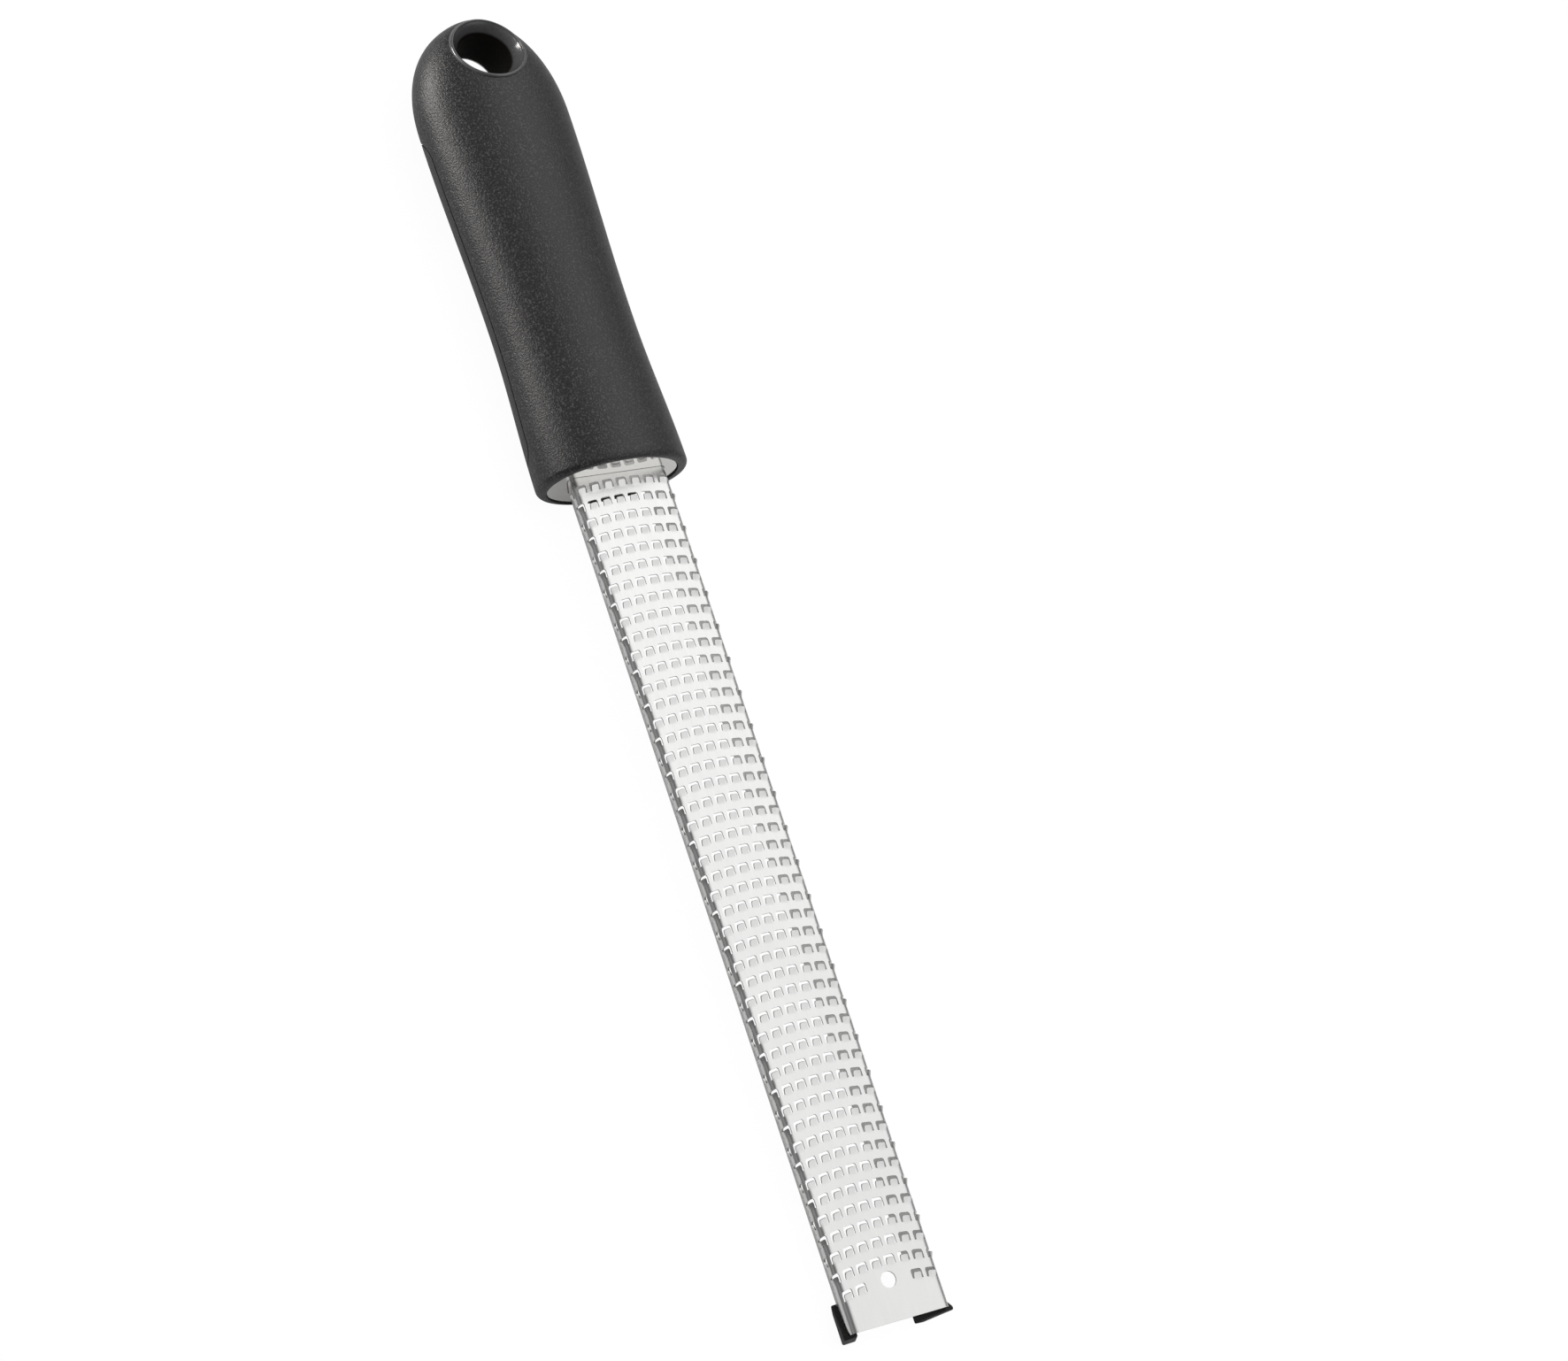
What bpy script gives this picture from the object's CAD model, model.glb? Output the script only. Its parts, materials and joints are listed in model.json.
"""Rasp zester: the dressed tool and its studio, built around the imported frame."""
import json
from math import acos, asin, atan2, cos, hypot, pi, radians, sin, sqrt, tan

import bmesh
import bpy
from bpy.props import FloatProperty, FloatVectorProperty, IntProperty, PointerProperty
from mathutils import Matrix, Vector
from mathutils.geometry import delaunay_2d_cdt


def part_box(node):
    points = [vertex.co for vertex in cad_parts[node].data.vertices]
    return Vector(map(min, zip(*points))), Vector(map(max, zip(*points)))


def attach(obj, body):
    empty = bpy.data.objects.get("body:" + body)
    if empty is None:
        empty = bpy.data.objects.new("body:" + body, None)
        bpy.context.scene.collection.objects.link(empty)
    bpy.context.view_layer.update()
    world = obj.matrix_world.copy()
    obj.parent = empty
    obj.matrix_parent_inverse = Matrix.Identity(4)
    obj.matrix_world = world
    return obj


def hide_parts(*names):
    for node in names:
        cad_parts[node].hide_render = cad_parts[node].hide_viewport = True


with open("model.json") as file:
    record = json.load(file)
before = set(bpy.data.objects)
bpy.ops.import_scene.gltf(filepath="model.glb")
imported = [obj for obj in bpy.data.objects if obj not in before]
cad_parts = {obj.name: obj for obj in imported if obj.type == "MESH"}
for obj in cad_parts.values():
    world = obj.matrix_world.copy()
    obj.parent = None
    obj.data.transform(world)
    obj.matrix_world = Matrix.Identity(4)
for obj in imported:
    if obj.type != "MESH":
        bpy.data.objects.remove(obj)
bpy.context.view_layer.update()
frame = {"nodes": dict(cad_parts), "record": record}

bl_info = {
    "name": "Rasp Zester",
    "version": (1, 0, 0),
    "blender": (4, 5, 0),
    "location": "3D Viewport > Sidebar > Zester",
    "description": "Builds an etched rasp zester with its grip, feet and studio",
    "category": "Add Mesh",
}

MM = 0.001
ROOT = "root"

mounts = {mount["name"]: mount for mount in frame["record"]["mounts"]}
tip_hole = mounts["tip_hole"]
hang_hole = mounts["hang_hole"]
SHEET = tip_hole["dims"]["length_mm"] * MM
FACE_Z = tip_hole["pos_m"][2] + SHEET / 2
AXIS_Z = hang_hole["pos_m"][2]
PLATE_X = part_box("end_plate")[1].x
GRIP_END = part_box("upper_shell")[0].x
BLADE_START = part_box("rasp_blade")[0].x
BLADE_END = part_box("rasp_blade")[1].x
EYE_X = hang_hole["pos_m"][0]


def linear(hex_colour):
    """An sRGB hex colour as linear red, green, blue and alpha."""
    parts = [int(hex_colour[place:place + 2], 16) / 255 for place in (0, 2, 4)]
    return [c / 12.92 if c <= 0.04045 else ((c + 0.055) / 1.055) ** 2.4 for c in parts] + [1.0]


def length(name, description, millimetres):
    """A length setting, shown in the scene's units."""
    return FloatProperty(
        name=name, description=description, default=millimetres * MM, unit="LENGTH", precision=5
    )


def colour(name, description, hex_colour):
    """A colour setting, given as sRGB hex."""
    return FloatVectorProperty(
        name=name, description=description, default=linear(hex_colour), size=4, subtype="COLOR", min=0, max=1
    )


class BladeSettings(bpy.types.PropertyGroup):
    """Sizes of the bent sheet and its etched teeth."""
    tooth_pitch: length("Tooth Pitch", "Distance between teeth across the blade", 3.5)
    row_pitch: length("Row Pitch", "Distance between rows along the blade", 4.18)
    rows: IntProperty(name="Rows", description="Full rows of teeth", default=46, min=2)
    teeth: IntProperty(name="Teeth", description="Teeth in a wide row", default=9, min=3)
    first_row: length("First Row", "From the end plate to the middle of the first row's edge teeth", 3.15)
    sag: length("Row Sag", "How far a row bows towards the handle", 0.85)
    opening_length: length("Opening Length", "Length of a tooth's opening along the blade", 2.1)
    opening_corner: length("Opening Corner", "Radius of an opening's corners", 0.5)
    tongue_length: length("Tongue Length", "From a tongue's root to its cutting end", 1.28)
    tongue_rise: length("Tongue Rise", "Height of the cutting end over the sheet", 0.45)
    half_width: length("Half Width", "Half of the blade's width", 12.4)
    bend_radius: length("Bend Radius", "Outer radius of the side bends", 1.5)
    flange_depth: length("Flange Depth", "Depth of the side flanges", 8.4)
    flange_lean: length("Flange Lean", "How far the flanges lean in at their lower edge", 2.75)
    steel: colour("Steel", "Colour of the etched sheet", "F1F1F0")


class GripSettings(bpy.types.PropertyGroup):
    """Sizes of the handle's sections, full widths and heights."""
    overhang: length("Overhang", "How far the rim stands past the end plate", 0.5)
    mouth_width: length("Mouth Width", "Width at the mouth", 38.2)
    mouth_height: length("Mouth Height", "Height at the mouth", 25.8)
    waist_width: length("Waist Width", "Width at the waist", 35.8)
    waist_height: length("Waist Height", "Height at the waist", 23.6)
    bulb_width: length("Bulb Width", "Width at the bulb", 38.6)
    bulb_height: length("Bulb Height", "Height at the bulb", 24.2)
    rim_round: length("Rim Round", "Radius of the mouth's rounded rim", 1.5)
    rim_face: length("Rim Face", "How much of the rim's rounding the mouth's edge leaves", 1.0)
    plate_gap: length("Plate Gap", "Gap round the end plate", 0.25)
    wall: length("Wall", "Wall of the shells", 2.4)
    panel_start: length("Panel Start", "From the end plate to the panel", 7.0)
    panel_length: length("Panel Length", "Length of the panel", 88.0)
    front_corner: length("Front Corner", "Radius of the panel's front corners", 4.0)
    rear_corner: length("Rear Corner", "Radius of the panel's rear corners", 9.0)
    seam_rise: length("Seam Rise", "How far the seam lies over the grip's widest line", 1.2)
    seam: length("Seam", "Gap between shell and panel", 0.35)
    edge_round: length("Edge Round", "Radius of the moulded edges at the seam", 0.2)
    shell_colour: colour("Shell Colour", "Grained upper shell", "1C1C1F")
    panel_colour: colour("Panel Colour", "Panel on the underside", "232325")


class EyeSettings(bpy.types.PropertyGroup):
    """Sizes of the hang eye."""
    flare_radius: length("Flare Radius", "Radius of the flare at the surface", 8.6)
    lip: length("Lip", "Width of the raised lip round the flare", 0.9)
    flare_depth: length("Flare Depth", "Depth of the flare", 5.0)
    proud: length("Proud", "How far the lip stands over the grip", 0.5)
    wall: length("Wall", "Wall of the liner", 1.3)
    gloss: colour("Gloss Colour", "Polished liner", "58585A")


class FootSettings(bpy.types.PropertyGroup):
    """Sizes of the rubber feet."""
    length: length("Length", "Length of a foot along the blade", 8.7)
    wall: length("Wall", "Rubber on each side of the flange", 1.35)
    sole: length("Sole", "Rubber under the flange", 1.5)
    end_wall: length("End Wall", "Rubber over the sheet's end", 0.8)
    front_height: length("Front Height", "Height of the rim where it leaves the flange's lower edge", 1.6)
    top_gap: length("Top Gap", "Bare sheet over the foot", 1.3)
    front_slant: length("Front Slant", "How far the sole is cut back in front", 1.6)
    edge_round: length("Edge Round", "Radius of the foot's edges", 0.45)
    rubber: colour("Rubber", "Colour of the feet", "11100F")


class StageSettings(bpy.types.PropertyGroup):
    """The photographer's corner: floor, lamps and camera."""
    floor_size: length("Floor Size", "Side of the square floor", 3000.0)
    floor_colour: colour("Floor Colour", "White laminate", "FFFFFF")
    lens: FloatProperty(name="Lens", description="Focal length of the camera", default=75.44, unit="CAMERA")


def settings():
    """The scene's own copy of every setting."""
    return bpy.context.scene.zester


class ZesterSettings(bpy.types.PropertyGroup):
    """All settings of the tool and its stage."""
    blade: PointerProperty(type=BladeSettings)
    grip: PointerProperty(type=GripSettings)
    eye: PointerProperty(type=EyeSettings)
    foot: PointerProperty(type=FootSettings)
    stage: PointerProperty(type=StageSettings)


# Node helpers

MATH = "ShaderNodeMath"
RANGE = "ShaderNodeMapRange"
MIX = "ShaderNodeMix"
BUMP = "ShaderNodeBump"
XYZ = "ShaderNodeCombineXYZ"
LINE = "GeometryNodeMeshLine"
INSTANCES = "GeometryNodeInstanceOnPoints"


def plug(tree, node, inputs):
    """Fills a node's inputs, in order or by name, each with a value, a socket or another node's
    first output."""
    named = inputs if isinstance(inputs, dict) else dict(enumerate(inputs))
    for name, given in named.items():
        if isinstance(given, bpy.types.Node):
            given = next(socket for socket in given.outputs if socket.enabled)
        if isinstance(given, bpy.types.NodeSocket):
            tree.links.new(given, node.inputs[name])
        else:
            node.inputs[name].default_value = given


def add_node(tree, kind, inputs=(), **properties):
    """Adds a node with its own properties and with its inputs filled."""
    node = tree.nodes.new(kind)
    for name, value in properties.items():
        setattr(node, name, value)
    plug(tree, node, inputs)
    return node


def new_material(name, **sockets):
    """A material with one principled shader; sockets are its inputs' values by name."""
    material = bpy.data.materials.new(name)
    material.use_nodes = True
    shader = material.node_tree.nodes["Principled BSDF"]
    plug(material.node_tree, shader, sockets)
    return material, material.node_tree, shader


def object_noise(tree, size, detail=2.0, stretch=(1, 1, 1)):
    """Noise over the object's own coordinates, whose lumps are about size metres across."""
    place = add_node(tree, "ShaderNodeTexCoord").outputs["Object"]
    mapping = add_node(tree, "ShaderNodeMapping", {"Vector": place, "Scale": stretch})
    return add_node(tree, "ShaderNodeTexNoise", {"Vector": mapping, "Scale": 1 / size, "Detail": detail})


def shade(base, factor):
    """A linear colour made lighter or darker."""
    return [min(1.0, part * factor) for part in base[:3]] + [1.0]


# Materials

# Colours that belong to a finish alone.
BUFFED_STEEL = "F0EFEC"
SPECK = "605F5D"
BORE_BLACK = "201D1A"
FIBRE_DARK, FIBRE_LIGHT = "202122", "34353A"
PIN_DARK, PIN_LIGHT = "B4B5B8", "CDCED0"
# Refractive indices: the skins' nylon is set over its usual 1.53, to match the grip's sheen.
NYLON_IOR = 1.62
RUBBER_IOR = 1.52
FILLED_NYLON_IOR = 1.53
# The floor's glow, and its share of what the camera and what a reflection sees of the floor.
FLOOR_GLOW = 1.07
GLOW_SEEN = 0.9
GLOW_MIRRORED = 0.1


def etched_steel(base):
    """Hardened stainless spring strip, rolled bright and photo-etched: a satin face with faint rolling
    lines along the blade and very small differences of tone."""
    material, tree, shader = new_material("etched_stainless_strip", Metallic=1.0, Roughness=0.3)
    lines = object_noise(tree, 0.12 * MM, detail=1.0, stretch=(0.02, 1, 1))
    tones = {"Factor": object_noise(tree, 14 * MM), "A": shade(base, 0.96), "B": shade(base, 1.03)}
    relief = {"Height": lines, "Distance": 0.002 * MM, "Strength": 0.5}
    plug(tree, shader, {
        "Base Color": add_node(tree, MIX, tones, data_type="RGBA"),
        "Roughness": add_node(tree, RANGE, (lines, 0.0, 1.0, 0.24, 0.38)),
        "Normal": add_node(tree, BUMP, relief),
    })
    return material


def polished_steel():
    """Stainless plate, buffed to a mirror: a sharp reflection with hairline polishing marks."""
    material, tree, shader = new_material("buffed_stainless_plate", Metallic=1.0, Roughness=0.05)
    marks = object_noise(tree, 0.25 * MM, stretch=(1, 0.04, 1))
    relief = {"Height": marks, "Distance": 0.0006 * MM, "Strength": 0.4}
    plug(tree, shader, {
        "Base Color": linear(BUFFED_STEEL),
        "Roughness": add_node(tree, RANGE, (marks, 0.0, 1.0, 0.02, 0.09)),
        "Normal": add_node(tree, BUMP, relief),
    })
    return material


def grained_plastic(name, base, grain_mm, relief_mm, roughness):
    """Moulded nylon from a spark-eroded tool: a charcoal satin skin whose fine grain catches the light
    as pale, slightly warm specks. The real grain is about 0.1 mm and is drawn coarser so that it shows."""
    material, tree, shader = new_material(name, Roughness=roughness, IOR=NYLON_IOR)
    grain = object_noise(tree, grain_mm * MM, detail=3.0)
    specks = object_noise(tree, grain_mm * MM, detail=1.0)
    tones = {"Factor": object_noise(tree, 9 * MM), "A": shade(base, 0.92), "B": shade(base, 1.1)}
    toned = add_node(tree, MIX, tones, data_type="RGBA")
    # Only the upper part of the noise gives specks.
    speck = add_node(tree, RANGE, (specks, 0.52, 0.72, 0.0, 0.7))
    lit = {"Factor": speck, "A": toned, "B": linear(SPECK)}
    plug(tree, shader, {
        "Base Color": add_node(tree, MIX, lit, data_type="RGBA"),
        "Roughness": add_node(tree, RANGE, (grain, 0.0, 1.0, roughness - 0.08, roughness + 0.1)),
        "Normal": add_node(tree, BUMP, {"Height": grain, "Distance": relief_mm * MM}),
    })
    return material


def gloss_plastic(base):
    """The same nylon from a polished part of the tool: dark gloss with slight ripples and scuffs on
    the lip and the flare, left dull and nearly black by the core pin inside the bore."""
    material, tree, shader = new_material("polished_nylon", Roughness=0.2, IOR=NYLON_IOR)
    ripple = object_noise(tree, 1.6 * MM)
    scuffs = object_noise(tree, 0.3 * MM)
    place = add_node(tree, "ShaderNodeTexCoord").outputs["Object"]
    axes = add_node(tree, "ShaderNodeSeparateXYZ", (place,)).outputs
    off = add_node(tree, MATH, (axes["X"], EYE_X), operation="SUBTRACT")
    side = add_node(tree, MATH, (axes["Y"], axes["Y"]), operation="MULTIPLY")
    square = add_node(tree, MATH, (off, off, side), operation="MULTIPLY_ADD")
    from_axis = add_node(tree, MATH, (square,), operation="SQRT")
    bore = hang_hole["dims"]["r_mm"] * MM
    # Nought on the bore's wall and one on the flare, whose radius grows from the bore's.
    flare = add_node(tree, RANGE, (from_axis, bore + 0.05 * MM, bore + 0.3 * MM, 0.0, 1.0))
    tones = {"Factor": scuffs, "A": shade(base, 0.6), "B": shade(base, 1.5)}
    toned = add_node(tree, MIX, tones, data_type="RGBA")
    pinned = {"Factor": flare, "A": linear(BORE_BLACK), "B": toned}
    scuffed = add_node(tree, RANGE, (scuffs, 0.0, 1.0, 0.04, 0.3))
    dull = add_node(tree, RANGE, (flare, 0.0, 1.0, 0.6, 0.0))
    plug(tree, shader, {
        "Base Color": add_node(tree, MIX, pinned, data_type="RGBA"),
        "Roughness": add_node(tree, MATH, (scuffed, dull), operation="MAXIMUM"),
        "Specular IOR Level": add_node(tree, RANGE, (flare, 0.0, 1.0, 0.05, 0.6)),
        "Normal": add_node(tree, BUMP, {"Height": ripple, "Distance": 0.03 * MM}),
    })
    return material


def moulded_rubber(base):
    """Thermoplastic rubber, moulded dull: dark brown-black, soft highlights, dusty in the pores."""
    material, tree, shader = new_material("moulded_rubber", Roughness=0.6, IOR=RUBBER_IOR)
    pores = object_noise(tree, 0.4 * MM, detail=3.0)
    tones = {"Factor": pores, "A": shade(base, 0.8), "B": shade(base, 1.35)}
    plug(tree, shader, {
        "Base Color": add_node(tree, MIX, tones, data_type="RGBA"),
        "Roughness": add_node(tree, RANGE, (pores, 0.0, 1.0, 0.5, 0.68)),
        "Normal": add_node(tree, BUMP, {"Height": pores, "Distance": 0.02 * MM}),
    })
    return material


def core_plastic():
    """Glass-filled nylon, moulded plain: dark grey with a mottled skin from the fibres."""
    material, tree, shader = new_material("glass_filled_nylon", Roughness=0.55, IOR=FILLED_NYLON_IOR)
    fibres = object_noise(tree, 0.6 * MM, stretch=(0.2, 1, 1))
    tones = {"Factor": fibres, "A": linear(FIBRE_DARK), "B": linear(FIBRE_LIGHT)}
    plug(tree, shader, {
        "Base Color": add_node(tree, MIX, tones, data_type="RGBA"),
        "Normal": add_node(tree, BUMP, {"Height": fibres, "Distance": 0.02 * MM}),
    })
    return material


def ground_pin_steel():
    """Ground steel dowel: grey metal with fine rings round the pin."""
    material, tree, shader = new_material("ground_steel_dowel", Metallic=1.0, Roughness=0.3)
    rings = object_noise(tree, 0.15 * MM, detail=1.0, stretch=(0.05, 1, 0.05))
    tones = {"Factor": rings, "A": linear(PIN_DARK), "B": linear(PIN_LIGHT)}
    plug(tree, shader, {
        "Base Color": add_node(tree, MIX, tones, data_type="RGBA"),
        "Normal": add_node(tree, BUMP, {"Height": rings, "Distance": 0.002 * MM}),
    })
    return material


def ray_kinds(tree):
    """One for camera rays, and one for mirrored and passing rays."""
    path = add_node(tree, "ShaderNodeLightPath").outputs
    passed_on = (path["Is Glossy Ray"], path["Is Transmission Ray"])
    return path["Is Camera Ray"], add_node(tree, MATH, passed_on, operation="MAXIMUM")


def white_laminate(base):
    """White laminate board, matt: shown to the camera and in reflections as the studio's white,
    with a share left to its own shading so that the tool's shadow stays."""
    material, tree, shader = new_material("white_laminate", Roughness=0.85)
    plug(tree, shader, {"Base Color": base})
    direct, mirrored = ray_kinds(tree)
    in_mirrors = add_node(tree, MATH, (mirrored, GLOW_MIRRORED), operation="MULTIPLY")
    share = add_node(tree, MATH, (direct, GLOW_SEEN, in_mirrors), operation="MULTIPLY_ADD")
    glow = add_node(tree, "ShaderNodeEmission", {"Color": base, "Strength": FLOOR_GLOW})
    mix = add_node(tree, "ShaderNodeMixShader", (share, shader, glow))
    plug(tree, tree.nodes["Material Output"], {"Surface": mix})
    return material


# Mesh helpers

def linked(name, data):
    """A new object in the scene for a mesh, a light or a camera."""
    item = bpy.data.objects.new(name, data)
    bpy.context.scene.collection.objects.link(item)
    return item


def piece_from(mesh, name, material, slot, *nodes):
    """Puts a finished mesh into the scene as a piece that stands for CAD nodes."""
    mesh.materials.clear()
    mesh.materials.append(material)
    piece = linked(name, mesh)
    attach(piece, ROOT)
    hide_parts(*nodes)
    return piece


def smooth_by_angle(mesh, angle):
    """Smooth shading, with edges sharper than the angle kept crisp."""
    mesh.shade_smooth()
    mesh.set_sharp_from_angle(angle=radians(angle))


def mesh_from(bm, name):
    """A mesh from a finished bmesh."""
    mesh = bpy.data.meshes.new(name)
    bm.to_mesh(mesh)
    bm.free()
    return mesh


def plain_copy(holder):
    """The plain mesh that an object's modifiers make; the object itself is removed."""
    bpy.context.view_layer.update()
    evaluated = holder.evaluated_get(bpy.context.evaluated_depsgraph_get())
    mesh = bpy.data.meshes.new_from_object(evaluated)
    bpy.data.objects.remove(holder)
    return mesh


def finished(mesh, kind, **options):
    """A new mesh: the given one after a modifier."""
    holder = linked("finishing", mesh)
    modifier = holder.modifiers.new(kind.title(), kind)
    for name, value in options.items():
        setattr(modifier, name, value)
    return plain_copy(holder)


def cut_out(mesh, tool):
    """A new mesh: the given one less the room that another takes."""
    cutter = linked("cutter", tool)
    cut = finished(mesh, "BOOLEAN", object=cutter, operation="DIFFERENCE", solver="EXACT")
    bpy.data.objects.remove(cutter)
    return cut


def fill_grid(bm, grid, keep=lambda row, column: True):
    """Faces between the lines of a grid of vertices, where keep says which cells it has."""
    for row in range(len(grid) - 1):
        for column in range(len(grid[0]) - 1):
            if keep(row, column):
                near, far = grid[row], grid[row + 1]
                bm.faces.new((near[column], far[column], far[column + 1], near[column + 1]))


# Blade

def bend_angle(blade):
    """How far the sheet turns from the face to the leaning flange, in radians."""
    side = blade.flange_lean - blade.bend_radius
    drop = blade.flange_depth - blade.bend_radius
    return pi / 2 + atan2(side, drop) + asin(blade.bend_radius / hypot(side, drop))


# A tooth's cell has lines across the blade at eighths of the pitch, its middle on line 4. Along the
# blade its opening starts at line 2, the tongue's free end is line 4 and the tongue's root line 7.
CELL_PARTS = 8
MIDDLE_LINE = 4
TONGUE_HALF = 2
OPENING_START = 2
FREE_END = 4
BAND_ROWS = range(2, 4)
TONGUE_ROWS = range(4, 7)
OPENING_COLUMNS = range(1, 7)
SLOT_COLUMNS = (1, 6)
TONGUE_CURVE = 1.2
FREE_CORNER_BACK = 0.06
FREE_CORNER_IN = 0.9
HOLE_SIDES = 40


def tooth_lines(blade):
    """Lines of one tooth's cell: across in eighths of the pitch, along at the opening's own places."""
    across = [blade.tooth_pitch * (place - MIDDLE_LINE) / CELL_PARTS for place in range(CELL_PARTS + 1)]
    edge = blade.row_pitch / 2
    tip = blade.opening_length / 2
    free = tip - blade.tongue_length
    margin = (edge + tip) / 2
    corner = blade.opening_corner - tip
    third = blade.tongue_length / 3
    along = [-edge, -margin, -tip, corner, free, free + third, free + 2 * third, tip, margin, edge]
    return along, across


def is_sheet(row, column):
    """Whether a face of a tooth's cell is steel: the opening is a band with two slots at its ends."""
    in_band = row in BAND_ROWS and column in OPENING_COLUMNS
    in_slot = row in TONGUE_ROWS and column in SLOT_COLUMNS
    return not in_band and not in_slot


def tooth_cell(blade):
    """One tooth on its own cell of flat sheet: a three-sided opening round a raised tongue."""
    along, across = tooth_lines(blade)
    root = blade.opening_length / 2
    rounding = blade.opening_corner * (1 - cos(pi / 4))
    bm = bmesh.new()
    grid = []
    for row, x in enumerate(along):
        line = []
        for column, y in enumerate(across):
            side = abs(column - MIDDLE_LINE)
            place = Vector((x, y, 0))
            if side <= TONGUE_HALF and row in TONGUE_ROWS:
                place.z = blade.tongue_rise * ((root - x) / blade.tongue_length) ** TONGUE_CURVE
            if side == TONGUE_HALF + 1 and row == OPENING_START:
                place.x += rounding
                place.y -= rounding if y > 0 else -rounding
            if side == TONGUE_HALF and row == FREE_END:
                place.x += blade.tongue_length * FREE_CORNER_BACK
                place.y *= FREE_CORNER_IN
            line.append(bm.verts.new(place))
        grid.append(line)
    fill_grid(bm, grid, is_sheet)
    return mesh_from(bm, "tooth_cell")


def socket_id(group, name):
    """The identifier of a group's named input."""
    return next(item.identifier for item in group.interface.items_tree if item.name == name)


def tooth_field_tree():
    """Geometry nodes that lay the tooth's cell out in staggered rows, with a last row of two pairs."""
    tree = bpy.data.node_groups.new("Tooth Field", "GeometryNodeTree")
    inputs = {
        "Geometry": "Geometry",
        "Tooth Pitch": "Float",
        "Row Pitch": "Float",
        "Rows": "Int",
        "Teeth": "Int",
        "Material": "Material",
    }
    for name, kind in inputs.items():
        tree.interface.new_socket(name, in_out="INPUT", socket_type="NodeSocket" + kind)
    tree.interface.new_socket("Geometry", in_out="OUTPUT", socket_type="NodeSocketGeometry")
    given = add_node(tree, "NodeGroupInput").outputs
    pitch, rise, rows, teeth = (given[name] for name in ("Tooth Pitch", "Row Pitch", "Rows", "Teeth"))
    half_rows = add_node(tree, MATH, (rows, 2.0), operation="DIVIDE")
    wide_rows = add_node(tree, MATH, (half_rows,), operation="CEIL")
    narrow_rows = add_node(tree, MATH, (half_rows,), operation="FLOOR")
    narrow_teeth = add_node(tree, MATH, (teeth, 1.0), operation="SUBTRACT")
    two_rises = add_node(tree, MATH, (rise, 2.0), operation="MULTIPLY")
    row_step = add_node(tree, XYZ, {"X": two_rises})
    tooth_step = add_node(tree, XYZ, {"Y": pitch})
    # A bank is a line of teeth at every point of a line of rows. Each line is given by its count,
    # its first place and its step.
    banks = []
    for row_count, tooth_count, start in ((wide_rows, teeth, 0.0), (narrow_rows, narrow_teeth, rise)):
        gaps = add_node(tree, MATH, (tooth_count, 1.0), operation="SUBTRACT")
        half = add_node(tree, MATH, (gaps, -0.5), operation="MULTIPLY")
        first = add_node(tree, MATH, (half, pitch), operation="MULTIPLY")
        row_start = add_node(tree, XYZ, {"X": start})
        tooth_start = add_node(tree, XYZ, {"Y": first})
        banks.append((row_count, row_start, row_step, tooth_count, tooth_start, tooth_step))
    # The last row keeps only a pair of teeth on each side of the tip hole.
    apart = add_node(tree, MATH, (teeth, 4.0), operation="SUBTRACT")
    pair_gap = add_node(tree, MATH, (apart, pitch), operation="MULTIPLY")
    pair_step = add_node(tree, XYZ, {"Y": pair_gap})
    spread = add_node(tree, MATH, (teeth, 3.0), operation="SUBTRACT")
    half_spread = add_node(tree, MATH, (spread, -0.5), operation="MULTIPLY")
    first_pair = add_node(tree, MATH, (half_spread, pitch), operation="MULTIPLY")
    last_row = add_node(tree, MATH, (rows, rise), operation="MULTIPLY")
    pair_start = add_node(tree, XYZ, {"X": last_row, "Y": first_pair})
    banks.append((2, pair_start, pair_step, 2, (0, 0, 0), tooth_step))
    join = add_node(tree, "GeometryNodeJoinGeometry")
    for row_count, row_start, row_gap, tooth_count, tooth_start, tooth_gap in banks:
        lines = {"Count": row_count, "Start Location": row_start, "Offset": row_gap}
        members = {"Count": tooth_count, "Start Location": tooth_start, "Offset": tooth_gap}
        bank = {"Points": add_node(tree, LINE, lines), "Instance": add_node(tree, LINE, members)}
        plug(tree, join, {"Geometry": add_node(tree, INSTANCES, bank)})
    points = add_node(tree, "GeometryNodeRealizeInstances", {"Geometry": join})
    cells = add_node(tree, INSTANCES, {"Points": points, "Instance": given["Geometry"]})
    real = add_node(tree, "GeometryNodeRealizeInstances", {"Geometry": cells})
    paint = {"Geometry": real, "Material": given["Material"]}
    painted = add_node(tree, "GeometryNodeSetMaterial", paint)
    add_node(tree, "NodeGroupOutput", {"Geometry": painted})
    return tree


def tooth_field(blade, material):
    """The whole flat field of teeth as a plain mesh, its first row's middle at zero."""
    holder = linked("tooth_field", tooth_cell(blade))
    modifier = holder.modifiers.new("Tooth Field", "NODES")
    modifier.node_group = tooth_field_tree()
    inputs = {
        "Tooth Pitch": blade.tooth_pitch,
        "Row Pitch": blade.row_pitch,
        "Rows": blade.rows,
        "Teeth": blade.teeth,
        "Material": material,
    }
    for name, value in inputs.items():
        modifier[socket_id(modifier.node_group, name)] = value
    return plain_copy(holder)


def plain_sheet(bm, along, across):
    """Plain cells between given lines of the flat sheet."""
    fill_grid(bm, [[bm.verts.new((x, y, 0)) for y in across] for x in along])


def sheet_on_both_sides(bm, along, across):
    """Plain cells between given lines, and their mirror image over the blade's middle."""
    plain_sheet(bm, along, across)
    plain_sheet(bm, along, [-y for y in reversed(across)])


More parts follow.
